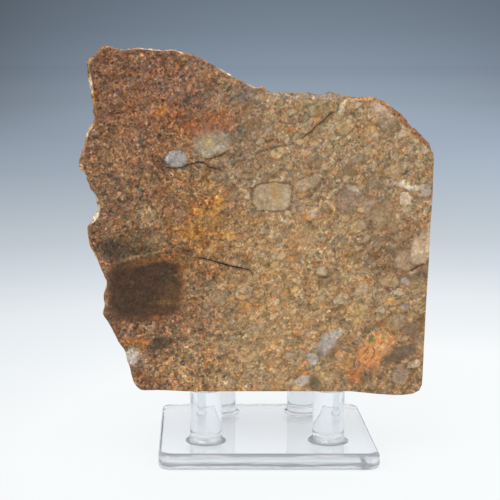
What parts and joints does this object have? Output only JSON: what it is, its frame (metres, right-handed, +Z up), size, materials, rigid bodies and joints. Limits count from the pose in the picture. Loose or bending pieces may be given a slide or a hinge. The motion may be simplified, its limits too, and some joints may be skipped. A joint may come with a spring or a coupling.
{
  "type": "polished metaconglomerate slab on a clear peg stand",
  "caption": "Thick slab of pebbly metaconglomerate with a polished front and broken rim, standing on a clear peg stand.",
  "frame": {"origin": "centre of the stand's underside, on the surface that it stands on", "axes": "+Z up, -Y out of the slab's polished face, +X to the right as seen from the front"},
  "size_m": [0.0897, 0.0476, 0.1071],
  "materials": {
    "stone": "brown and ochre pebbly stone, polished on the front, rough on the broken rim",
    "clear_plastic": "clear moulded plastic"
  },
  "bodies": {
    "root": {"metaconglomerate_slab": "stone", "display_stand": "clear_plastic"}
  },
  "joints": []
}
